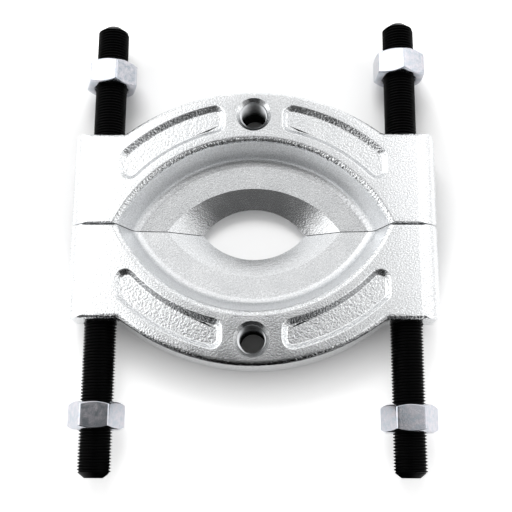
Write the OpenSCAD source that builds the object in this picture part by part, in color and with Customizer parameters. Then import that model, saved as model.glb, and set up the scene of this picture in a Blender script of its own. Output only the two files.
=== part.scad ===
// Bearing separator: two forged half plates drawn together on two threaded studs by four nuts.
// X runs along the split, Y runs along the studs, Z is up, and the plates lie on Z = 0.
// The origin is the middle of the closed opening, on the surface that the plates lie on.

/* [Half plates] */
// Thickness of each half plate
plate_t = 28; // [26:0.5:36]
// Gap between the closed half plates
split_gap = 0.4; // [0.2:0.1:2]
// Radius of the round outer edge, at the parting line
rim_r = 103.4; // [100:0.2:108]
// Distance from the split back to the centre of the round outer edge
rim_back = 33.3; // [30:0.1:38]
// Draft angle of the forged outer walls, in degrees
draft = 3; // [0:0.5:6]
// Radius on the long outer edges
edge_r = 2.5; // [1:0.25:4]

/* [Ears] */
// Length of each ear from the split, at the parting line
ear_l = 47.6; // [42:0.2:54]
// Wall of the ear outside the stud's axis
ear_wall = 16; // [14:0.5:20]
// Reach of the ear inside the stud's axis
ear_reach = 20; // [17:0.5:24]
// Radius on the ear's outer side, seen along the stud
ear_side_r = 10.5; // [4:0.5:12]
// Radius on the ear's outer corner at its end, seen from above
ear_corner_r = 5.5; // [3:0.5:10]
// Radius on the ear's outer corner at the split, seen from above
split_corner_r = 3; // [1:0.5:6]
// Draft angle of the ear's end below the parting line, in degrees
under_draft = 9; // [3:0.5:12]
// Radius of the hollow corner between the ear and the round edge
ear_fillet_r = 4; // [3:0.5:7]
// Radius on the ear's edges along the split
split_edge_r = 1.2; // [0.5:0.1:2]

/* [Dish] */
// Distance from the split back to the dish's axis
dish_back = 30.3; // [28:0.1:33]
// Radius of the dish where its wall meets the top face
lip_r = 73.9; // [72:0.1:75]
// Radius of the dish where its wall meets its floor
floor_r = 67.5; // [64:0.1:69]
// Depth of the dish at the foot of its wall
floor_depth = 15.3; // [12:0.1:17]
// Radius where the floor turns down into the knife cone
cone_r = 53.2; // [50:0.1:56]
// Depth of the dish where the knife cone starts
cone_depth = 16.3; // [13:0.1:18]
// Slope of the knife cone below level, in degrees
cone_slope = 30; // [20:1:40]
// Radius on the dish's lip
lip_round = 3.4; // [1:0.2:4]
// Radius in the hollow at the foot of the dish's wall
cove_r = 5; // [2:0.5:7]
// Radius of the opening at the height where the knife edge lies
opening_r = 31; // [28:0.1:34]
// Distance from the split back to the opening's axis
opening_back = 17.5; // [15:0.1:20]
// Height of the knife edge over the underside
knife_z = 5.1; // [3:0.1:7]
// Widening of the opening from the knife edge to the underside
relief = 2; // [1:0.25:4]

/* [Puller holes] */
// Bore of the threaded puller hole, at its thread's roots
puller_d = 14.2; // [12:0.1:15]
// Width of the puller hole's mouth
puller_mouth_d = 17.6; // [16:0.2:20]
// Distance of the puller holes from the split
puller_y = 56.9; // [54:0.1:60]

/* [Pockets] */
// Radius of the pocket's long inner side, about the dish's axis
pocket_in_r = 79.4; // [78:0.1:82]
// Radius of the pocket's long outer side, about the dish's axis
pocket_out_r = 94; // [90:0.1:95]
// Distance from the middle to the pocket's inner end
pocket_x0 = 14.4; // [12:0.2:18]
// Distance from the middle to the pocket's outer end
pocket_x1 = 66.4; // [60:0.2:68]
// Depth of the pocket
pocket_depth = 2.2; // [1:0.1:4]
// Lean of the pocket's walls, across its depth
pocket_lean = 2.3; // [0.4:0.1:2.6]
// Corner radius of the pocket's floor
pocket_corner_r = 2.8; // [2:0.2:3.4]
// Radius on the pocket's rim and in the hollow round its floor
pocket_round_r = 1; // [0.4:0.1:1.2]

/* [Studs] */
// Outer diameter of the stud's thread
stud_d = 16; // [12:0.5:17]
// Distance between the two studs
stud_spacing = 150; // [150:0.5:160]
// Length of each stud
stud_l = 232; // [226:1:300]
// Distance of the left stud's middle from the split, along the stud
left_stud_y = -5.4; // [-7:0.1:0]
// Distance of the right stud's middle from the split, along the stud
right_stud_y = -4.4; // [-7:0.1:0]
// Length of the cone on each stud end
stud_tip_l = 2.8; // [1:0.1:4]
// Diameter of the flat on each stud end
stud_tip_d = 8.8; // [6:0.2:11]
// Clearance round the stud in the ear, each side
stud_clearance = 0.3; // [0.1:0.05:0.5]

/* [Nuts] */
// Width of the nut across its flats
nut_w = 24; // [22:0.5:26]
// Height of the nut
nut_h = 13; // [10:0.5:16]
// Clearance of the nut's bore round the stud, each side
nut_clearance = 0.05; // [0.05:0.05:0.2]
// Width of the round flat on each end of the nut
nut_face_d = 22.8; // [21:0.1:23.5]
// Angle of the nut's end chamfers, in degrees
nut_chamfer = 30; // [15:1:35]
// Width of the chamfer at the nut's bore
nut_mouth = 1; // [0.4:0.1:1.6]
// Distance of the left far nut's middle from its end of the stud
left_far_nut_in = 27.8; // [12:0.2:36]
// Distance of the right far nut's middle from its end of the stud
right_far_nut_in = 23.8; // [12:0.2:36]
// Distance of the left near nut's middle from its end of the stud
left_near_nut_in = 29; // [12:0.2:36]
// Distance of the right near nut's middle from its end of the stud
right_near_nut_in = 27.4; // [12:0.2:36]
// Turn of the left far nut from a corner on top, in degrees
left_far_nut_turn = 19; // [-30:1:30]
// Turn of the right far nut from a corner on top, in degrees
right_far_nut_turn = 6; // [-30:1:30]
// Turn of the left near nut from a flat on top, in degrees
left_near_nut_turn = 5; // [-30:1:30]
// Turn of the right near nut from a flat on top, in degrees
right_near_nut_turn = -2; // [-30:1:30]

/* [Hidden] */

// Segments of a full turn
$fn = 96;
// Segments of a rounded corner on a profile, of a pocket's corner, long side and rim
round_steps = 6;
corner_steps = 5;
side_steps = 10;
rim_steps = 3;
// A cut runs this far past the face that it opens
over = 1;

stud_x = stud_spacing / 2;
stud_z = plate_t / 2;
split_y = split_gap / 2;
stud_hole_d = stud_d + 2 * stud_clearance;
nut_bore_d = stud_d + 2 * nut_clearance;
nut_mouth_d = nut_bore_d + 2 * nut_mouth;
nut_sides = 6;
nut_corner_d = nut_w / cos(180 / nut_sides);
// A hexagon starts with a corner on +X, and this turn puts the corner on top
corner_up = 90;
flat_up = 0;

// How far a forged wall leans in between the parting line and a face
lean = stud_z * tan(draft);
under_lean = stud_z * tan(under_draft);
ear_x0 = stud_x - ear_reach;
ear_x1 = stud_x + ear_wall;

// Heights of the wall's foot and of the knife cone's start, and the cone run out below the underside
floor_z = plate_t - floor_depth;
cone_z = plate_t - cone_depth;
cone_foot_z = -over;
cone_foot_r = cone_r - (cone_z - cone_foot_z) / tan(cone_slope);

// Centre of the hollow corner's arc: beyond the ear's end and outside the round edge
hollow_y = ear_l + ear_fillet_r;
hollow_x = sqrt(pow(rim_r + ear_fillet_r, 2) - pow(hollow_y + rim_back, 2));
// Reach of the round back sideways behind the ears
back_x = max(stud_x, hollow_x + ear_fillet_r);

// Centres of a pocket's corner arcs: distances from the dish's axis and from the middle
corner_out_r = pocket_out_r - pocket_lean - pocket_corner_r;
corner_in_r = pocket_in_r + pocket_lean + pocket_corner_r;
corner_x0 = pocket_x0 + pocket_lean + pocket_corner_r;
corner_x1 = pocket_x1 - pocket_lean - pocket_corner_r;

// A vector of length one
function unit(v) = v / norm(v);

// Points of an arc about a centre from angle a0 to angle a1, with "skip" points left out at both ends
function arc(centre, r, a0, a1, steps, skip = 0) =
    [for (i = [skip : steps - skip])
        let (a = a0 + (a1 - a0) * i / steps)
        centre + r * [cos(a), sin(a)]];

// Points of an arc of radius r that rounds the corner b between a and c
function rounded(a, b, c, r, steps = round_steps) =
    let (u = unit(a - b), w = unit(c - b),
         half = acos(u * w) / 2,
         reach = r / tan(half),
         middle = b + unit(u + w) * (r / sin(half)),
         start = b + u * reach - middle,
         finish = b + w * reach - middle,
         sweep = 180 - 2 * half)
    [for (i = [0 : steps])
        middle + (start * sin(sweep * (1 - i / steps)) + finish * sin(sweep * i / steps)) / sin(sweep)];

// Half section of a forged wall that leans in from its parting line, with rounded edges.
// The wall stands at "out" on the parting line, and the section reaches back to "back".
// Below the parting line the wall leans in by "low_lean".
module drafted_section(back, out, low_lean = lean) {
    top_back = [back, plate_t];
    top_out = [out - lean, plate_t];
    parting = [out, stud_z];
    low_out = [out - low_lean, 0];
    low_back = [back, 0];
    polygon(concat([low_back, top_back],
                   rounded(top_back, top_out, parting, edge_r),
                   [parting],
                   rounded(parting, low_out, low_back, edge_r)));
}

// Round back of a half plate, as a full disc about the outer edge's axis
module round_back() {
    translate([0, -rim_back, 0])
        rotate_extrude()
            drafted_section(0, rim_r);
}

// Section of an ear along the stud: square at the split, drafted at its far end
module ear_section() {
    intersection() {
        drafted_section(0, ear_l, under_lean);
        polygon(concat(rounded([split_y, 0], [split_y, plate_t], [ear_l, plate_t], split_edge_r),
                       [[ear_l + over, plate_t], [ear_l + over, 0]],
                       rounded([ear_l, 0], [split_y, 0], [split_y, plate_t], split_edge_r)));
    }
}

// Section of an ear across the stud, with a round outer side
module ear_side_section() {
    translate([ear_x0, 0])
        square([ear_x1 - ear_side_r - ear_x0, plate_t]);
    translate([ear_x0, ear_side_r])
        square([ear_x1 - ear_x0, plate_t - 2 * ear_side_r]);
    for (z = [ear_side_r, plate_t - ear_side_r])
        translate([ear_x1 - ear_side_r, z])
            circle(r = ear_side_r);
}

// Outline of an ear from above, with round outer corners at its end and at the split
module ear_outline() {
    inner_end = [ear_x0, ear_l];
    outer_end = [ear_x1, ear_l];
    outer_split = [ear_x1, split_y];
    inner_split = [ear_x0, split_y];
    polygon(concat([inner_split, inner_end],
                   rounded(inner_end, outer_end, outer_split, ear_corner_r),
                   rounded(outer_end, outer_split, inner_split, split_corner_r)));
}

// One ear on the +X side, cut from its three outlines
module ear() {
    intersection() {
        linear_extrude(plate_t)
            ear_outline();
        translate([0, ear_l + over, 0])
            rotate([90, 0, 0])
                linear_extrude(ear_l + 2 * over)
                    ear_side_section();
        rotate([90, 0, 90])
            linear_extrude(ear_x1 + over)
                ear_section();
    }
}

// Hollow corner where the round edge meets the ear's end, on the +X side
module ear_hollow() {
    rim_dir = unit([-hollow_x, -rim_back - hollow_y]);
    intersection() {
        translate([hollow_x, hollow_y, 0])
            rotate_extrude()
                mirror([1, 0])
                    drafted_section(-3 * ear_fillet_r, -ear_fillet_r, under_lean);
        linear_extrude(plate_t)
            polygon([[hollow_x, hollow_y],
                     [hollow_x, hollow_y] + 2 * ear_fillet_r * rim_dir,
                     [hollow_x, ear_l - ear_fillet_r]]);
    }
}

// Space of the dish, turned about its own axis
module dish_space() {
    above = [lip_r + 2 * lip_round, plate_t];
    lip = [lip_r, plate_t];
    foot = [floor_r, floor_z];
    cone_start = [cone_r, cone_z];
    translate([0, -dish_back, 0])
        rotate_extrude()
            polygon(concat([[0, plate_t + over], [lip_r + 2 * lip_round, plate_t + over]],
                           rounded(above, lip, foot, lip_round),
                           rounded(lip, foot, cone_start, cove_r),
                           [cone_start, [cone_foot_r, cone_foot_z], [0, cone_foot_z]]));
}

// Space of the opening below the knife edge, which widens to the underside
module opening_space() {
    translate([0, -opening_back, -knife_z])
        cylinder(h = 3 * knife_z, r1 = opening_r + 2 * relief, r2 = opening_r - relief);
}

// Outline of one pocket on the +X side, clockwise, drawn in from its mouth by "inset"
function pocket_outline(inset) =
    let (axis = [0, -dish_back],
         r = pocket_corner_r + pocket_lean - inset,
         out0 = acos(corner_x0 / corner_out_r),
         out1 = acos(corner_x1 / corner_out_r),
         in0 = acos(corner_x0 / corner_in_r),
         in1 = acos(corner_x1 / corner_in_r))
    concat(arc(axis + corner_out_r * [cos(out0), sin(out0)], r, 180, out0, corner_steps),
           arc(axis, pocket_out_r - inset, out0, out1, side_steps, 1),
           arc(axis + corner_out_r * [cos(out1), sin(out1)], r, out1, 0, corner_steps),
           arc(axis + corner_in_r * [cos(in1), sin(in1)], r, 0, in1 - 180, corner_steps),
           arc(axis, pocket_in_r + inset, in1, in0, side_steps, 1),
           arc(axis + corner_in_r * [cos(in0), sin(in0)], r, in0 - 180, -180, corner_steps));

// Space of one pocket on the +X side, lofted from its floor up a leaning wall to a rounded rim.
// Each level of the wall's profile is [inset from the mouth, height].
module pocket_space() {
    floor_in = [2 * pocket_lean, plate_t - pocket_depth];
    foot = [pocket_lean, plate_t - pocket_depth];
    mouth = [0, plate_t];
    mouth_out = [-pocket_lean, plate_t];
    rim = rounded(foot, mouth, mouth_out, pocket_round_r, rim_steps);
    levels = concat(rounded(floor_in, foot, mouth, pocket_round_r, rim_steps),
                    rim,
                    [[rim[rim_steps].x, plate_t + over]]);
    lines = [for (level = levels) [for (q = pocket_outline(level.x)) [q.x, q.y, level.y]]];
    n = len(lines[0]);
    top = (len(levels) - 1) * n;
    polyhedron(
        points = [for (line = lines) each line],
        faces = concat([[for (i = [0 : n - 1]) top + i]],
                       [[for (i = [0 : n - 1]) n - 1 - i]],
                       [for (k = [0 : n : top - n])
                           for (i = [0 : n - 1])
                               [k + n + (i + 1) % n, k + n + i, k + i, k + (i + 1) % n]]));
}

// Puller hole with a coned mouth in the top face
module puller_space() {
    mouth_h = (puller_mouth_d - puller_d) / 2;
    translate([0, puller_y, 0]) {
        translate([0, 0, -over])
            cylinder(h = plate_t + 2 * over, d = puller_d);
        translate([0, 0, plate_t - mouth_h])
            cylinder(h = mouth_h + over, d1 = puller_d, d2 = puller_mouth_d + 2 * over);
    }
}

// Hole for one stud, on the +X side
module stud_space() {
    translate([stud_x, rim_r, stud_z])
        rotate([90, 0, 0])
            cylinder(h = rim_r + over, d = stud_hole_d);
}

// A child on the +X side and its mirror image
module both_sides() {
    children();
    mirror([1, 0, 0])
        children();
}

// One half plate, lying on the +Y side of the split
module jaw() {
    difference() {
        union() {
            intersection() {
                round_back();
                union() {
                    translate([-ear_x0 - over, split_y, 0])
                        cube([2 * (ear_x0 + over), rim_r, plate_t]);
                    translate([-back_x, ear_l / 2, 0])
                        cube([2 * back_x, rim_r, plate_t]);
                }
            }
            both_sides()
                ear();
            both_sides()
                ear_hollow();
        }
        dish_space();
        opening_space();
        puller_space();
        both_sides()
            pocket_space();
        both_sides()
            stud_space();
    }
}

// One stud along Y, with coned ends
module stud(x, y) {
    translate([x, y + stud_l / 2, stud_z])
        rotate([90, 0, 0]) {
            cylinder(h = stud_tip_l, d1 = stud_tip_d, d2 = stud_d);
            translate([0, 0, stud_tip_l])
                cylinder(h = stud_l - 2 * stud_tip_l, d = stud_d);
            translate([0, 0, stud_l - stud_tip_l])
                cylinder(h = stud_tip_l, d1 = stud_d, d2 = stud_tip_d);
        }
}

// One hexagon nut on a stud, turned about it from its resting turn
module nut(x, y, turn) {
    mid_d = nut_face_d + nut_h / tan(nut_chamfer);
    translate([x, y + nut_h / 2, stud_z])
        rotate([90, 0, 0])
            difference() {
                intersection() {
                    rotate([0, 0, turn])
                        cylinder(h = nut_h, d = nut_corner_d, $fn = nut_sides);
                    union() {
                        cylinder(h = nut_h / 2, d1 = nut_face_d, d2 = mid_d);
                        translate([0, 0, nut_h / 2])
                            cylinder(h = nut_h / 2, d1 = mid_d, d2 = nut_face_d);
                    }
                }
                translate([0, 0, -over])
                    cylinder(h = nut_h + 2 * over, d = nut_bore_d);
                for (side = [0, 1])
                    translate([0, 0, side * nut_h])
                        mirror([0, 0, side])
                            cylinder(h = nut_mouth, d1 = nut_mouth_d, d2 = nut_bore_d);
            }
}

module far_jaw() {
    color("silver")
        jaw();
}

module near_jaw() {
    color("silver")
        rotate([0, 0, 180])
            jaw();
}

module left_stud() {
    color("#202022")
        stud(-stud_x, left_stud_y);
}

module right_stud() {
    color("#202022")
        stud(stud_x, right_stud_y);
}

module left_far_nut() {
    color("gainsboro")
        nut(-stud_x, left_stud_y + stud_l / 2 - left_far_nut_in, corner_up - left_far_nut_turn);
}

module right_far_nut() {
    color("gainsboro")
        nut(stud_x, right_stud_y + stud_l / 2 - right_far_nut_in, corner_up - right_far_nut_turn);
}

module left_near_nut() {
    color("gainsboro")
        nut(-stud_x, left_stud_y - stud_l / 2 + left_near_nut_in, flat_up - left_near_nut_turn);
}

module right_near_nut() {
    color("gainsboro")
        nut(stud_x, right_stud_y - stud_l / 2 + right_near_nut_in, flat_up - right_near_nut_turn);
}

far_jaw();
near_jaw();
left_stud();
right_stud();
left_far_nut();
right_far_nut();
left_near_nut();
right_near_nut();
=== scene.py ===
# %% [markdown]
# A bearing separator is two forged half plates that close like a clam behind a bearing.
# Two black threaded studs run through the plates' ears, and four bright nuts draw the plates together.
# The solids come from the CAD model, and this file gives them their threads, soft edges and finishes.
# It works in metres in the CAD model's own frame: X along the split, Y along the studs, Z up.

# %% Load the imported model
import math

import bmesh
import bpy
from mathutils import Matrix, Vector


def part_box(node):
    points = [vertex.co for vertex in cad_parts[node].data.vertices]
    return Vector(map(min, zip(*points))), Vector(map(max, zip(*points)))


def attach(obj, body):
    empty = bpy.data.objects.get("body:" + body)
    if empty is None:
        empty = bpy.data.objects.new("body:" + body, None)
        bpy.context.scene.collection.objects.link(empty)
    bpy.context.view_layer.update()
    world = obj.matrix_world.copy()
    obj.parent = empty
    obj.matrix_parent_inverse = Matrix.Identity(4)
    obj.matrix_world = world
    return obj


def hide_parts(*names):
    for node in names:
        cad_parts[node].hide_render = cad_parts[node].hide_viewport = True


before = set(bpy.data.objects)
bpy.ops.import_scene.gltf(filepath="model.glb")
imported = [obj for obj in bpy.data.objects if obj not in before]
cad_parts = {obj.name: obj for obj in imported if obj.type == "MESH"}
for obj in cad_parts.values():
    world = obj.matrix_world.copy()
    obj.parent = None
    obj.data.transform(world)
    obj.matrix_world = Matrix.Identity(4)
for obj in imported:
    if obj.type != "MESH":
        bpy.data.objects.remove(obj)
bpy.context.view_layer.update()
MM = 0.001
scene = bpy.context.scene
scene.view_settings.view_transform = "Standard"
print("nodes:", ", ".join(sorted(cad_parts)))

# %% [markdown]
# The photograph looks down on the tool from close by, a little from its near side.
# A close camera with a longish lens was fitted to the plate's edges, the studs and the nuts.
# A camera looks along its own minus Z, so its three axes are worked out and put in one matrix.

# %% Camera
AIM = Vector((1.31, -12.98, 14.0)) * MM
DISTANCE = 464.79 * MM
ELEVATION, AZIMUTH, ROLL = (math.radians(a) for a in (76.23, 6.61, -6.37))
FOCAL_PIXELS = 931.34
IMAGE_PIXELS = 512

back = Vector((math.sin(AZIMUTH) * math.cos(ELEVATION),
               -math.cos(AZIMUTH) * math.cos(ELEVATION),
               math.sin(ELEVATION)))
level = (-back).cross(Vector((0, 0, 1))).normalized()
upward = level.cross(-back)
right = math.cos(ROLL) * level + math.sin(ROLL) * upward
up = math.cos(ROLL) * upward - math.sin(ROLL) * level

camera_data = bpy.data.cameras.new("camera")
camera_data.sensor_width = 36.0
camera_data.lens = FOCAL_PIXELS / IMAGE_PIXELS * camera_data.sensor_width
camera = bpy.data.objects.new("camera", camera_data)
scene.collection.objects.link(camera)
camera.matrix_world = Matrix.Translation(AIM + DISTANCE * back) @ Matrix((right, up, back)).transposed().to_4x4()
scene.camera = camera
print("lens", round(camera_data.lens, 2), "mm, camera at", [round(c, 4) for c in camera.matrix_world.translation])

# %% [markdown]
# Every finish below is a small network of nodes.
# Colours are written as the sRGB hex values that a paint program shows, and Blender computes in linear light.
# One function turns the first into the second, and one function adds a node with its settings and links.


# %% Helpers for the finishes
def linear(hex_code):
    """An sRGB hex colour as linear red, green, blue and alpha."""
    parts = [int(hex_code[i:i + 2], 16) / 255 for i in (1, 3, 5)]
    return (*[c / 12.92 if c <= 0.04045 else ((c + 0.055) / 1.055) ** 2.4 for c in parts], 1.0)


def add_node(tree, kind, settings=None, inputs=None):
    """Adds one node; an input is a plain value or another node's output socket."""
    node = tree.nodes.new(kind)
    for key, value in (settings or {}).items():
        setattr(node, key, value)
    for key, value in (inputs or {}).items():
        if isinstance(value, bpy.types.NodeSocket):
            tree.links.new(value, node.inputs[key])
        else:
            node.inputs[key].default_value = value
    return node


def new_material(name):
    """A material with only an output and a Principled shader that feeds it."""
    material = bpy.data.materials.new(name)
    material.use_nodes = True
    tree = material.node_tree
    tree.nodes.clear()
    shader = add_node(tree, "ShaderNodeBsdfPrincipled")
    add_node(tree, "ShaderNodeOutputMaterial", inputs={"Surface": shader.outputs["BSDF"]})
    return material, tree, shader


print("mid grey in linear light:", round(linear("#808080")[0], 3))

# %% [markdown]
# The half plates are drop-forged steel, shot-blasted and then plated bright.
# Plating alone would give a mirror, and the blasted skin under it breaks each reflection into fine grain.
# The skin is not the same all over: the dish's wall was turned smooth on a lathe,
# and the lip, the pockets and the outer sides kept the coarser skin of the die.
# So the first nodes work out where a point lies, as a mask from 0 to 1 for each kind of skin.

# %% Plated forging: where each skin lies
plated, tree, shader = new_material("plated_forged_steel")
DISH_BACK_MM, WALL_FOOT_MM, WALL_TOP_MM = 30.3, 69.0, 25.8
COVE_MM, LIP_MM, UNDER_TOP_MM = (64, 66), (75, 77), (27.75, 27.97)
place = add_node(tree, "ShaderNodeTexCoord")
axes = add_node(tree, "ShaderNodeSeparateXYZ", inputs={"Vector": place.outputs["Object"]})
# Distance from the dish's axis, which lies as far beyond the split for one plate as for the other
side = add_node(tree, "ShaderNodeMath", {"operation": "ABSOLUTE"}, {0: axes.outputs["Y"]})
side = add_node(tree, "ShaderNodeMath", {"operation": "ADD"}, {0: side.outputs[0], 1: DISH_BACK_MM * MM})
flat = add_node(tree, "ShaderNodeCombineXYZ", inputs={"X": axes.outputs["X"], "Y": side.outputs[0]})
from_axis = add_node(tree, "ShaderNodeVectorMath", {"operation": "LENGTH"}, {0: flat.outputs[0]})
# Turned wall: beyond its foot, short of the lip and below the lip's rounding
over_foot = add_node(tree, "ShaderNodeMapRange", {"interpolation_type": "SMOOTHSTEP"},
                     {"Value": from_axis.outputs["Value"], "From Min": (WALL_FOOT_MM - 1) * MM,
                      "From Max": (WALL_FOOT_MM + 1) * MM})
under_lip = add_node(tree, "ShaderNodeMapRange", {"interpolation_type": "SMOOTHSTEP"},
                     {"Value": axes.outputs["Z"], "From Min": (WALL_TOP_MM - 0.6) * MM,
                      "From Max": (WALL_TOP_MM + 0.4) * MM, "To Min": 1.0, "To Max": 0.0})
inside = add_node(tree, "ShaderNodeMapRange",
                  inputs={"Value": from_axis.outputs["Value"], "From Min": LIP_MM[0] * MM,
                          "From Max": LIP_MM[1] * MM, "To Min": 1.0, "To Max": 0.0})
in_dish = add_node(tree, "ShaderNodeMath", {"operation": "MULTIPLY"},
                   {0: inside.outputs["Result"], 1: under_lip.outputs["Result"]})
turned = add_node(tree, "ShaderNodeMath", {"operation": "MULTIPLY"},
                  {0: over_foot.outputs["Result"], 1: in_dish.outputs[0]})
# Rough skin: the cove, the lip and all outside it that lies below the top face
outside = add_node(tree, "ShaderNodeMapRange",
                   inputs={"Value": from_axis.outputs["Value"], "From Min": COVE_MM[0] * MM,
                           "From Max": COVE_MM[1] * MM})
below = add_node(tree, "ShaderNodeMapRange",
                 inputs={"Value": axes.outputs["Z"], "From Min": UNDER_TOP_MM[0] * MM,
                         "From Max": UNDER_TOP_MM[1] * MM, "To Min": 1.0, "To Max": 0.0})
die_skin = add_node(tree, "ShaderNodeMath", {"operation": "MULTIPLY"},
                    {0: outside.outputs["Result"], 1: below.outputs["Result"]})
print("masked the turned wall and the die's skin in", len(tree.nodes), "nodes")

# %% [markdown]
# Real displacement would need millions of faces, so the grain is a bump that tilts the reflection.
# It is drawn a little coarser than life, because finer grain would not show in the render.
# Each kind of skin gets its own depth: strong on the edges, weak on the flats, almost none where a tool cut last.

# %% Plated forging: grain
GRAIN_MM, COARSE_MM, GRAIN_HEIGHT_MM = 0.9, 1.1, 0.4
EDGE_MM = (25.9, 26.2)
HOLE_Y_MM, MOUTH_R_MM = 56.9, 8.8
fine = add_node(tree, "ShaderNodeTexNoise",
                inputs={"Vector": place.outputs["Object"], "Scale": 1 / (GRAIN_MM * MM), "Detail": 1.5})
coarse = add_node(tree, "ShaderNodeTexNoise",
                  inputs={"Vector": place.outputs["Object"], "Scale": 1 / (COARSE_MM * MM), "Detail": 2.0})
grain = add_node(tree, "ShaderNodeMix",
                 inputs={"Factor": die_skin.outputs[0], "A": fine.outputs["Fac"], "B": coarse.outputs["Fac"]})
# Edges are roughest: the shot strikes them from two sides
edges = add_node(tree, "ShaderNodeMapRange",
                 inputs={"Value": axes.outputs["Z"], "From Min": EDGE_MM[0] * MM, "From Max": EDGE_MM[1] * MM,
                         "To Min": 0.45, "To Max": 1.0})
flats = add_node(tree, "ShaderNodeMix", inputs={"Factor": outside.outputs["Result"], "A": 0.12, "B": 0.16})
depth = add_node(tree, "ShaderNodeMix",
                 inputs={"Factor": die_skin.outputs[0], "A": flats.outputs["Result"], "B": edges.outputs["Result"]})
depth = add_node(tree, "ShaderNodeMix", inputs={"Factor": turned.outputs[0], "A": depth.outputs["Result"], "B": 0.06})
# The puller holes' countersinks are cut last and stay clean
from_hole = add_node(tree, "ShaderNodeVectorMath", {"operation": "DISTANCE"},
                     {0: flat.outputs[0], 1: (0, (HOLE_Y_MM + DISH_BACK_MM) * MM, 0)})
uncut = add_node(tree, "ShaderNodeMapRange",
                 inputs={"Value": from_hole.outputs["Value"], "From Min": (MOUTH_R_MM - 0.1) * MM,
                         "From Max": (MOUTH_R_MM + 0.3) * MM, "To Min": 0.04})
depth = add_node(tree, "ShaderNodeMath", {"operation": "MULTIPLY"},
                 {0: depth.outputs["Result"], 1: uncut.outputs["Result"]})
skin = add_node(tree, "ShaderNodeBump",
                inputs={"Height": grain.outputs["Result"], "Strength": depth.outputs[0],
                        "Distance": GRAIN_HEIGHT_MM * MM})
tree.links.new(skin.outputs["Normal"], shader.inputs["Normal"])
print("grain", GRAIN_MM, "mm wide on the flats and", COARSE_MM, "mm on the die's skin")

# %% [markdown]
# Grain this fine blurs a reflection but hardly shows as grain, because the light comes from all round.
# On the real plate each grain catches the light in its own way, which shows as fine light and dark specks.
# So the colour carries the specks, and wide soft patches change the colour and the gloss a little.

# %% Plated forging: colour and gloss
SPECK_MM, LUMP_MM = 0.55, 9.0
lumps = add_node(tree, "ShaderNodeTexNoise",
                 inputs={"Vector": place.outputs["Object"], "Scale": 1 / (LUMP_MM * MM), "Detail": 3.0})
tint = add_node(tree, "ShaderNodeMix", {"data_type": "RGBA"},
                {"Factor": lumps.outputs["Fac"], "A": linear("#DCDEE0"), "B": linear("#E3E4E5")})
specks = add_node(tree, "ShaderNodeTexNoise",
                  inputs={"Vector": place.outputs["Object"], "Scale": 1 / (SPECK_MM * MM), "Detail": 1.0})
specks = add_node(tree, "ShaderNodeMapRange",
                  inputs={"Value": specks.outputs["Fac"], "From Min": 0.3, "From Max": 0.7,
                          "To Min": 0.74, "To Max": 1.14})
# On the dish's floor and cone a turning tool has taken some of the grain away
grainy = add_node(tree, "ShaderNodeMix", inputs={"Factor": outside.outputs["Result"], "A": 0.65, "B": 1.0})
tint = add_node(tree, "ShaderNodeMix", {"data_type": "RGBA", "blend_type": "MULTIPLY"},
                {"Factor": grainy.outputs["Result"], "A": tint.outputs["Result"], "B": specks.outputs["Result"]})
sheen = add_node(tree, "ShaderNodeMapRange",
                 inputs={"Value": lumps.outputs["Fac"], "From Min": 0.3, "From Max": 0.7,
                         "To Min": 0.17, "To Max": 0.24})
# The wall and its cove are the dullest, because the turning tool left fine rings there
dull = add_node(tree, "ShaderNodeMath", {"operation": "MULTIPLY"},
                {0: outside.outputs["Result"], 1: in_dish.outputs[0]})
sheen = add_node(tree, "ShaderNodeMix",
                 inputs={"Factor": dull.outputs[0], "A": sheen.outputs["Result"], "B": 0.38})
tree.links.new(tint.outputs["Result"], shader.inputs["Base Color"])
tree.links.new(sheen.outputs["Result"], shader.inputs["Roughness"])
shader.inputs["Metallic"].default_value = 1.0
print("made", plated.name)

# %% [markdown]
# The studs are blackened steel: the oxide is thin, matt and nearly black, and a trace of oil dulls its shine.
# An oxide is not a bare metal, so the finish is not metallic, and its gloss is weak and uneven.

# %% Black oxide
black, tree, shader = new_material("black_oxide_steel")
place = add_node(tree, "ShaderNodeTexCoord")
oil_and_shade_noise = add_node(tree, "ShaderNodeTexNoise",
               inputs={"Vector": place.outputs["Object"], "Scale": 1 / (5.0 * MM), "Detail": 3.0})
tint = add_node(tree, "ShaderNodeMix", {"data_type": "RGBA"},
                {"Factor": oil_and_shade_noise.outputs["Fac"], "A": linear("#020202"), "B": linear("#060607")})
sheen = add_node(tree, "ShaderNodeMapRange",
                 inputs={"Value": oil_and_shade_noise.outputs["Fac"], "From Min": 0.3, "From Max": 0.7,
                         "To Min": 0.3, "To Max": 0.55})
tree.links.new(tint.outputs["Result"], shader.inputs["Base Color"])
tree.links.new(sheen.outputs["Result"], shader.inputs["Roughness"])
shader.inputs["Specular IOR Level"].default_value = 0.05
print("made", black.name)

# %% [markdown]
# The nuts are zinc plated: bright, a little blue, and cloudy where the plating lies unevenly.
# Clouds a few millimetres wide shift the colour between blue and violet grey and change the gloss.

# %% Bright zinc
zinc, tree, shader = new_material("bright_zinc_plating")
CLOUD_MM, PIT_MM = 2.5, 0.8
place = add_node(tree, "ShaderNodeTexCoord")
cloud = add_node(tree, "ShaderNodeTexNoise",
                 inputs={"Vector": place.outputs["Object"], "Scale": 1 / (CLOUD_MM * MM), "Detail": 4.0})
pits = add_node(tree, "ShaderNodeTexNoise",
                inputs={"Vector": place.outputs["Object"], "Scale": 1 / (PIT_MM * MM), "Detail": 2.0})
spread = add_node(tree, "ShaderNodeMapRange",
                  inputs={"Value": cloud.outputs["Fac"], "From Min": 0.35, "From Max": 0.65})
tint = add_node(tree, "ShaderNodeMix", {"data_type": "RGBA"},
                {"Factor": spread.outputs["Result"], "A": linear("#B4BAC2"), "B": linear("#C8C6CC")})
sheen = add_node(tree, "ShaderNodeMapRange",
                 inputs={"Value": cloud.outputs["Fac"], "From Min": 0.3, "From Max": 0.7,
                         "To Min": 0.12, "To Max": 0.22})
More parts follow.
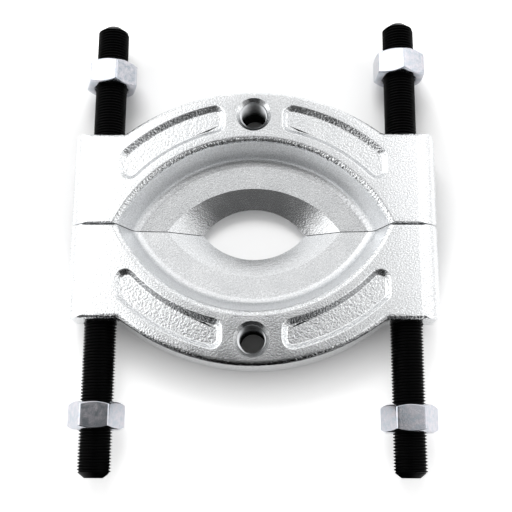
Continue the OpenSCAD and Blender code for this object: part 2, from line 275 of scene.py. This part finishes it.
skin = add_node(tree, "ShaderNodeBump",
                inputs={"Height": pits.outputs["Fac"], "Strength": 0.3, "Distance": 0.05 * MM})
tree.links.new(tint.outputs["Result"], shader.inputs["Base Color"])
tree.links.new(sheen.outputs["Result"], shader.inputs["Roughness"])
tree.links.new(skin.outputs["Normal"], shader.inputs["Normal"])
shader.inputs["Metallic"].default_value = 1.0
print("made", zinc.name)

# %% [markdown]
# A CAD solid reaches Blender as loose triangles, so its roundings and pockets would show as flat facets.
# A merged copy can be shaded smooth, with true creases kept where two faces meet at more than a set angle.
# A Weighted Normal modifier then lets the large faces rule, which keeps them flat beside the roundings.


# %% Half plates
def finish_mesh(bm, name, material, body, sharp_angle=30):
    """Makes an object of the bmesh, shaded smooth but for edges over the sharp angle."""
    bmesh.ops.recalc_face_normals(bm, faces=bm.faces)
    for face in bm.faces:
        face.smooth = True
    for edge in bm.edges:
        edge.smooth = edge.calc_face_angle(0) < math.radians(sharp_angle)
    mesh = bpy.data.meshes.new(name)
    bm.to_mesh(mesh)
    bm.free()
    mesh.materials.append(material)
    piece = bpy.data.objects.new(name, mesh)
    scene.collection.objects.link(piece)
    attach(piece, body)
    return piece


for name in ("far_jaw", "near_jaw"):
    bm = bmesh.new()
    bm.from_mesh(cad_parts[name].data)
    bmesh.ops.remove_doubles(bm, verts=bm.verts, dist=0.002 * MM)
    plate = finish_mesh(bm, name + "_forging", plated, name, 22)
    flat_faces = plate.modifiers.new("flat_faces", "WEIGHTED_NORMAL")
    flat_faces.keep_sharp = True
    flat_faces.weight = 100
    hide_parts(name)
    print(plate.name, len(plate.data.polygons), "faces")

# %% [markdown]
# A screw thread is one small profile carried round and along at the same time.
# Blender's spin does that when it is given a step along the axis, so one spin makes one turn of thread.
# Spinning every turn would be slow, so the first turn is doubled along the axis until it is long enough.


# %% Thread helper
def thread_turns(bm, profile, pitch, length, steps):
    """Spins a profile of (place in the pitch, radius) about Z and stacks its turns up to the length."""
    points = [bm.verts.new((r, 0, z * pitch)) for z, r in profile]
    edges = [bm.edges.new(pair) for pair in zip(points, points[1:])]
    bmesh.ops.spin(bm, geom=points + edges, cent=(0, 0, 0), axis=(0, 0, 1),
                   dvec=(0, 0, pitch / steps), angle=2 * math.pi, steps=steps)
    turns = 1
    while turns * pitch < length:
        more = bmesh.ops.duplicate(bm, geom=bm.verts[:] + bm.edges[:] + bm.faces[:])
        bmesh.ops.translate(bm, vec=(0, 0, turns * pitch),
                            verts=[g for g in more["geom"] if isinstance(g, bmesh.types.BMVert)])
        turns *= 2
    bmesh.ops.remove_doubles(bm, verts=bm.verts, dist=0.01 * MM)


def cut_end(bm, height, outward):
    """Cuts the thread off square at a height and returns the open rim."""
    cut = bmesh.ops.bisect_plane(bm, geom=bm.verts[:] + bm.edges[:] + bm.faces[:],
                                 plane_co=(0, 0, height), plane_no=(0, 0, outward), clear_outer=True)
    return [e for e in cut["geom_cut"] if isinstance(e, bmesh.types.BMEdge)]


STUD_PITCH = 1.5 * MM
STUD_DEPTH = 0.61 * STUD_PITCH
print("stud thread: pitch", round(STUD_PITCH / MM, 2), "mm, depth", round(STUD_DEPTH / MM, 2), "mm")

# %% [markdown]
# The studs are threaded from end to end, with a lathe's cone on each end.
# The cone is made by drawing in every point of the thread that stands outside it.

# %% Threaded studs
TIP_LENGTH, TIP_R = 2.8 * MM, 4.4 * MM
for name in ("left_stud", "right_stud"):
    low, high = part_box(name)
    middle = (low + high) / 2
    length, crest_r = high.y - low.y, (high.x - low.x) / 2
    root_r = crest_r - STUD_DEPTH
    profile = [(0.0, root_r), (0.2, root_r), (0.55, crest_r), (0.65, crest_r), (1.0, root_r)]
    bm = bmesh.new()
    thread_turns(bm, profile, STUD_PITCH, length + 3 * STUD_PITCH, 36)
    bmesh.ops.translate(bm, vec=(0, 0, -1.5 * STUD_PITCH), verts=bm.verts)
    for vert in bm.verts:
        from_end = max(min(vert.co.z, length - vert.co.z), 0)
        limit = TIP_R + from_end * (crest_r - TIP_R) / TIP_LENGTH
        if vert.co.xy.length > limit:
            vert.co.xy *= limit / vert.co.xy.length
    for height, outward in ((0, -1), (length, 1)):
        bmesh.ops.edgeloop_fill(bm, edges=cut_end(bm, height, outward))
    lay_down = Matrix.Translation((middle.x, low.y, middle.z)) @ Matrix.Rotation(math.radians(-90), 4, "X")
    bmesh.ops.transform(bm, matrix=lay_down, verts=bm.verts)
    thread = finish_mesh(bm, name + "_thread", black, name)
    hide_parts(name)
    print(thread.name, len(thread.data.polygons), "faces")

# %% [markdown]
# The metal of the puller holes goes from bright at the mouth to black below, and the black is painted shade down the
# hole.
# The change follows the height, and a noise makes the edge of the painted shade wander.

# %% Tapped steel with painted shade
tapped, tree, shader = new_material("tapped_steel_painted_shade")
# Sizes in mm of the painted shade down the hole: its noise, its wander, where it is full and where it is gone
HOLE_SHADE_NOISE_MM, HOLE_SHADE_WANDER_MM, HOLE_SHADE_FULL_MM, HOLE_SHADE_GONE_MM = 2.0, 4.0, 14.0, 28.0
place = add_node(tree, "ShaderNodeTexCoord")
axes = add_node(tree, "ShaderNodeSeparateXYZ", inputs={"Vector": place.outputs["Object"]})
# A noise wanders the edge of the painted shade
oil_and_shade_noise = add_node(tree, "ShaderNodeTexNoise",
               inputs={"Vector": place.outputs["Object"], "Scale": 1 / (HOLE_SHADE_NOISE_MM * MM), "Detail": 2.0})
wander = add_node(tree, "ShaderNodeMath", {"operation": "MULTIPLY_ADD"},
                  {0: oil_and_shade_noise.outputs["Fac"], 1: HOLE_SHADE_WANDER_MM * MM, 2: axes.outputs["Z"]})
reach = add_node(tree, "ShaderNodeMapRange",
                 inputs={"Value": wander.outputs[0], "From Min": HOLE_SHADE_FULL_MM * MM, "From Max": HOLE_SHADE_GONE_MM * MM})
# 141414 is painted shade deep in the hole, #C4C6C8 the bright metal at the mouth
tint = add_node(tree, "ShaderNodeMix", {"data_type": "RGBA"},
                {"Factor": reach.outputs["Result"], "A": linear("#141414"), "B": linear("#C4C6C8")})
tree.links.new(tint.outputs["Result"], shader.inputs["Base Color"])
shader.inputs["Roughness"].default_value = 0.28
shader.inputs["Metallic"].default_value = 1.0
print("made", tapped.name)

# %% [markdown]
# The puller holes are tapped, and their threads show as bright arcs on the far side of each hole.
# The plate's bore is the size of the thread's roots, so the thread is a sleeve set into it.
# The countersunk mouth runs on down into the thread: points inside the cone are moved out to it.

# %% Tapped puller holes
TAP_PITCH = 2.0 * MM
TAP_ROOT_R, TAP_CREST_R, SLEEVE_R = 7.1 * MM, 6.2 * MM, 7.6 * MM
MOUTH_FOOT, SLEEVE_FOOT = 26.3 * MM, 0.3 * MM
HOLE_Y = HOLE_Y_MM * MM
slope = [(0.0, TAP_ROOT_R), (0.1, TAP_ROOT_R), (0.3, (TAP_ROOT_R + TAP_CREST_R) / 2), (0.45, TAP_CREST_R),
         (0.6, TAP_CREST_R), (0.75, (TAP_ROOT_R + TAP_CREST_R) / 2), (0.9, TAP_ROOT_R), (1.0, TAP_ROOT_R)]
for name, y in (("far_jaw", HOLE_Y), ("near_jaw", -HOLE_Y)):
    bm = bmesh.new()
    thread_turns(bm, slope, TAP_PITCH, MOUTH_FOOT + 3 * TAP_PITCH, 64)
    bmesh.ops.translate(bm, vec=(0, 0, -1.5 * TAP_PITCH), verts=bm.verts)
    for vert in bm.verts:
        cone_r = TAP_ROOT_R - max(min(MOUTH_FOOT - vert.co.z, vert.co.z - SLEEVE_FOOT), 0)
        if vert.co.xy.length < cone_r:
            vert.co.xy *= cone_r / vert.co.xy.length
    rims = []
    for height, outward in ((SLEEVE_FOOT, -1), (MOUTH_FOOT, 1)):
        wide = bmesh.ops.extrude_edge_only(bm, edges=cut_end(bm, height, outward))["geom"]
        for vert in (g for g in wide if isinstance(g, bmesh.types.BMVert)):
            vert.co.xy *= SLEEVE_R / vert.co.xy.length
        rims += [g for g in wide if isinstance(g, bmesh.types.BMEdge) and g.is_boundary]
    bmesh.ops.bridge_loops(bm, edges=rims)
    bmesh.ops.translate(bm, vec=(0, y, 0), verts=bm.verts)
    sleeve = finish_mesh(bm, name + "_tapped_thread", tapped, name)
    print(sleeve.name, len(sleeve.data.polygons), "faces")

# %% [markdown]
# A nut starts as a hexagon whose corners are rounded, because tumbled and plated edges are never sharp.
# The outline is drawn up into walls, and each end goes in to a round flat, a bore mouth and the bore.
# One helper extrudes a rim and moves the new points in, which serves for all three steps at both ends.

# %% Nut sizes and helper
NUT_W, NUT_FACE_R, NUT_BORE_R, NUT_MOUTH = 24.0 * MM, 11.4 * MM, 8.05 * MM, 1.0 * MM
CHAMFER = math.tan(math.radians(30))
CORNER_CUT = 0.65 * MM
# The circle operator puts its first point on +Y
FIRST_CORNER = math.radians(90)


def draw_in(bm, rim, radius, height):
    """Extrudes an end's rim and moves the new points in to a circle at a height."""
    new = bmesh.ops.extrude_edge_only(bm, edges=rim)["geom"]
    for vert in (g for g in new if isinstance(g, bmesh.types.BMVert)):
        vert.co.xy *= radius / vert.co.xy.length
        vert.co.z = height
    return [g for g in new if isinstance(g, bmesh.types.BMEdge) and g.is_boundary]


print("nuts", round(NUT_W / MM, 1), "mm across flats")

# %% [markdown]
# Each nut stands turned as it was left by the spanner, so its turn is read from the CAD nut's corners.
# A lathe's chamfer takes down every point that stands outside a shallow cone, most of all the corners.
# The Weighted Normal modifier keeps the six flats flat beside their softened edges.

# %% Nuts
for name in ("left_far_nut", "right_far_nut", "left_near_nut", "right_near_nut"):
    low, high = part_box(name)
    middle, half = (low + high) / 2, (high.y - low.y) / 2
    axis = Vector((middle.x, 0, (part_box("left_stud")[0].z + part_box("left_stud")[1].z) / 2))
    spokes = [Vector((v.co.x - axis.x, v.co.z - axis.z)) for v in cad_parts[name].data.vertices]
    corner = max(spokes, key=lambda spoke: spoke.length)
    turn = math.atan2(corner.y, corner.x)
    bm = bmesh.new()
    bmesh.ops.create_circle(bm, segments=6, radius=NUT_W / 2 / math.cos(math.radians(30)))
    bmesh.ops.bevel(bm, geom=bm.verts[:], offset=CORNER_CUT, segments=4, profile=0.5, affect="VERTICES",
                    material=-1)
    flats = [e for e in bm.edges if e.calc_length() > 5 * MM]
    bmesh.ops.subdivide_edges(bm, edges=flats, cuts=15)
    bmesh.ops.translate(bm, vec=(0, 0, -half), verts=bm.verts)
    low_rim = bm.edges[:]
    walls = bmesh.ops.extrude_edge_only(bm, edges=low_rim)["geom"]
    bmesh.ops.translate(bm, vec=(0, 0, 2 * half), verts=[g for g in walls if isinstance(g, bmesh.types.BMVert)])
    high_rim = [g for g in walls if isinstance(g, bmesh.types.BMEdge) and all(v.co.z > 0 for v in g.verts)]
    chamfered = []
    bore_rims = []
    for rim, way in ((low_rim, -1), (high_rim, 1)):
        chamfered += rim
        flat_rim = draw_in(bm, rim, NUT_FACE_R, way * half)
        mouth_rim = draw_in(bm, flat_rim, NUT_BORE_R + NUT_MOUTH, way * half)
        bore_rims += draw_in(bm, mouth_rim, NUT_BORE_R, way * (half - NUT_MOUTH))
    bmesh.ops.bridge_loops(bm, edges=bore_rims)
    for vert in {v for e in chamfered for v in e.verts}:
        drop = max(vert.co.xy.length - NUT_FACE_R, 0) * CHAMFER
        vert.co.z -= math.copysign(drop, vert.co.z)
    bmesh.ops.recalc_face_normals(bm, faces=bm.faces)
    bmesh.ops.bevel(bm, geom=chamfered, offset=0.3 * MM, segments=3, profile=0.5, affect="EDGES", material=-1)
    along = Matrix.Translation((axis.x, middle.y, axis.z)) @ Matrix.Rotation(math.radians(90), 4, "X")
    bmesh.ops.transform(bm, matrix=along @ Matrix.Rotation(turn - FIRST_CORNER, 4, "Z"), verts=bm.verts)
    nut = finish_mesh(bm, name + "_hexagon", zinc, name, 40)
    flat_faces = nut.modifiers.new("flat_faces", "WEIGHTED_NORMAL")
    flat_faces.keep_sharp = True
    flat_faces.weight = 100
    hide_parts(name)
    print(nut.name, len(nut.data.polygons), "faces, corner turned", round(math.degrees(turn), 1))

# %% [markdown]
# The tool lies on white paper, and in the photograph the paper is pure white a hand's breadth from the tool.
# More light would burn out the metal, so the paper glows a little by itself round the tool instead.
# The glow is seen by the camera and in the metal, and it lights nothing, so the shadows by the tool stay.

# %% Paper
paper, tree, shader = new_material("white_paper")
shader.inputs["Base Color"].default_value = linear("#F0F0F0")
shader.inputs["Roughness"].default_value = 0.9
GLOW, GLOW_FROM_MM, GLOW_FULL_MM, GLOW_BACK_MM = 0.5, 84.0, 116.0, 25.0
GLOW_OVAL = (0.87, 1, 1)
place = add_node(tree, "ShaderNodeTexCoord")
oval = add_node(tree, "ShaderNodeVectorMath", {"operation": "MULTIPLY"}, {0: place.outputs["Object"], 1: GLOW_OVAL})
far_off = add_node(tree, "ShaderNodeVectorMath", {"operation": "DISTANCE"},
                   {0: oval.outputs["Vector"], 1: (0, GLOW_BACK_MM * MM, 0)})
share = add_node(tree, "ShaderNodeMapRange", {"interpolation_type": "SMOOTHSTEP"},
                 {"Value": far_off.outputs["Value"], "From Min": GLOW_FROM_MM * MM, "From Max": GLOW_FULL_MM * MM,
                  "To Max": GLOW})
path = add_node(tree, "ShaderNodeLightPath")
seen = add_node(tree, "ShaderNodeMath", {"operation": "ADD"},
                {0: path.outputs["Is Camera Ray"], 1: path.outputs["Is Glossy Ray"]})
seen = add_node(tree, "ShaderNodeMath", {"operation": "ADD", "use_clamp": True},
                {0: seen.outputs[0], 1: path.outputs["Is Transmission Ray"]})
share = add_node(tree, "ShaderNodeMath", {"operation": "MULTIPLY"},
                 {0: share.outputs["Result"], 1: seen.outputs[0]})
glow = add_node(tree, "ShaderNodeEmission", inputs={"Strength": share.outputs[0]})
blend = add_node(tree, "ShaderNodeAddShader", inputs={0: shader.outputs["BSDF"], 1: glow.outputs["Emission"]})
output = next(n for n in tree.nodes if n.type == "OUTPUT_MATERIAL")
tree.links.new(blend.outputs["Shader"], output.inputs["Surface"])
print("made", paper.name)

# %% [markdown]
# Bright metal shows only what it reflects, so photographers stand a black card where an edge should turn dark.
# The card is velvet, which has no shine, and it is black at its foot and grey at its top.

# %% Velvet
CARD_BLACK_M, CARD_GREY_M = 0.09, 0.22
velvet, tree, shader = new_material("black_to_grey_card")
place = add_node(tree, "ShaderNodeTexCoord")
axes = add_node(tree, "ShaderNodeSeparateXYZ", inputs={"Vector": place.outputs["Object"]})
height = add_node(tree, "ShaderNodeMapRange",
                  inputs={"Value": axes.outputs["Z"], "From Min": CARD_BLACK_M, "From Max": CARD_GREY_M})
tint = add_node(tree, "ShaderNodeMix", {"data_type": "RGBA"},
                {"Factor": height.outputs["Result"], "A": linear("#080808"), "B": linear("#646464")})
tree.links.new(tint.outputs["Result"], shader.inputs["Base Color"])
shader.inputs["Roughness"].default_value = 1.0
shader.inputs["Specular IOR Level"].default_value = 0.0
print("made", velvet.name)

# %% [markdown]
# The card stands in front and leans over the tool, and it draws the dark line along every edge facing it.
# Its foot lies on the paper, and a low fence bends round the near plate's rim to keep the rim's rounding dark.
# The foot and the fence leave the paper beside the near nuts free, so that the nuts stay bright.
# The cards show only in the metal: they are hidden from the camera and take no light off the paper.


# %% Floor and cards
def stage_sheet(name, corners_m, material):
    """A flat sheet of the studio, which is not part of the tool, between four corners."""
    bm = bmesh.new()
    bmesh.ops.create_circle(bm, segments=4, radius=1, cap_ends=True)
    for vert, corner in zip(bm.verts, corners_m):
        vert.co = corner
    mesh = bpy.data.meshes.new(name)
    bm.to_mesh(mesh)
    bm.free()
    mesh.materials.append(material)
    sheet = bpy.data.objects.new(name, mesh)
    scene.collection.objects.link(sheet)
    return sheet


FLOOR_HALF, LIFT, CARD_Y = 3, 0.001, -0.2
stage_sheet("floor", [(-FLOOR_HALF, -FLOOR_HALF, 0), (FLOOR_HALF, -FLOOR_HALF, 0),
                      (FLOOR_HALF, FLOOR_HALF, 0), (-FLOOR_HALF, FLOOR_HALF, 0)], paper)
card = stage_sheet("black_card", [(-0.15, CARD_Y, LIFT), (0.11, CARD_Y, LIFT),
                                  (0.06, 0.125, 0.95), (-0.11, 0.125, 0.95)], velvet)
foot = stage_sheet("card_foot", [(-0.085, CARD_Y, LIFT), (0.085, CARD_Y, LIFT),
                                 (0.085, -0.109, LIFT), (-0.085, -0.109, LIFT)], velvet)
FENCE_R_MM, FENCE_TOP = 118.0, 0.016
posts = [(FENCE_R_MM * MM * math.sin(a), (DISH_BACK_MM - FENCE_R_MM * math.cos(a)) * MM)
         for a in map(math.radians, (-42, -21, 0, 21, 42))]
fence = [stage_sheet("card_fence", [(*a, LIFT), (*b, LIFT), (*b, FENCE_TOP), (*a, FENCE_TOP)], velvet)
         for a, b in zip(posts, posts[1:])]
for sheet in (card, foot, *fence):
    sheet.visible_camera = sheet.visible_diffuse = sheet.visible_shadow = False
print("staged the floor, the card and", len(fence), "lengths of fence")

# %% [markdown]
# A large soft box at each side gives the metal something white to show, the left one a little more than the right.
# The paper's own light comes from behind: the key lamp casts the soft shadows towards the camera.
# Each lamp does one job, so the boxes are kept off the dull paper and the key is kept out of the metal.


# %% Soft boxes and key
def soft_box(name, place_m, size_m, radiance):
    """An area lamp that faces the tool; a radiance of 1 looks just white."""
    data = bpy.data.lights.new(name, "AREA")
    data.shape = "RECTANGLE"
    data.size, data.size_y = size_m
    data.energy = radiance * math.pi * size_m[0] * size_m[1]
    lamp = bpy.data.objects.new(name, data)
    scene.collection.objects.link(lamp)
    lamp.location = place_m
    lamp.rotation_euler = (AIM - Vector(place_m)).to_track_quat("-Z", "Y").to_euler()
    return lamp


soft_box("left_box", (-0.65, 0.1, 0.6), (1.2, 1.2), 1.25).visible_diffuse = False
soft_box("right_box", (0.65, 0.1, 0.6), (1.2, 1.2), 0.75).visible_diffuse = False
soft_box("back_key", (-0.1, 0.62, 0.7), (0.5, 0.5), 6.5).visible_glossy = False

# %% [markdown]
# A white tent closes the studio, brighter behind the tool than before it.
# The world's light is set by the direction's Y, so each edge shades from its bright side to its dark side.

# %% Tent
TENT_FRONT, TENT_BACK = 0.15, 1.3
world = bpy.data.worlds.new("white_tent")
scene.world = world
world.use_nodes = True
tent = next(n for n in world.node_tree.nodes if n.type == "BACKGROUND")
place = add_node(world.node_tree, "ShaderNodeTexCoord")
axes = add_node(world.node_tree, "ShaderNodeSeparateXYZ", inputs={"Vector": place.outputs["Generated"]})
to_back = add_node(world.node_tree, "ShaderNodeMapRange",
                   inputs={"Value": axes.outputs["Y"], "From Min": -1.0, "To Min": TENT_FRONT, "To Max": TENT_BACK})
tent.inputs["Color"].default_value = (1, 1, 1, 1)
world.node_tree.links.new(to_back.outputs["Result"], tent.inputs["Strength"])
print("tent from", TENT_FRONT, "in front to", TENT_BACK, "behind")
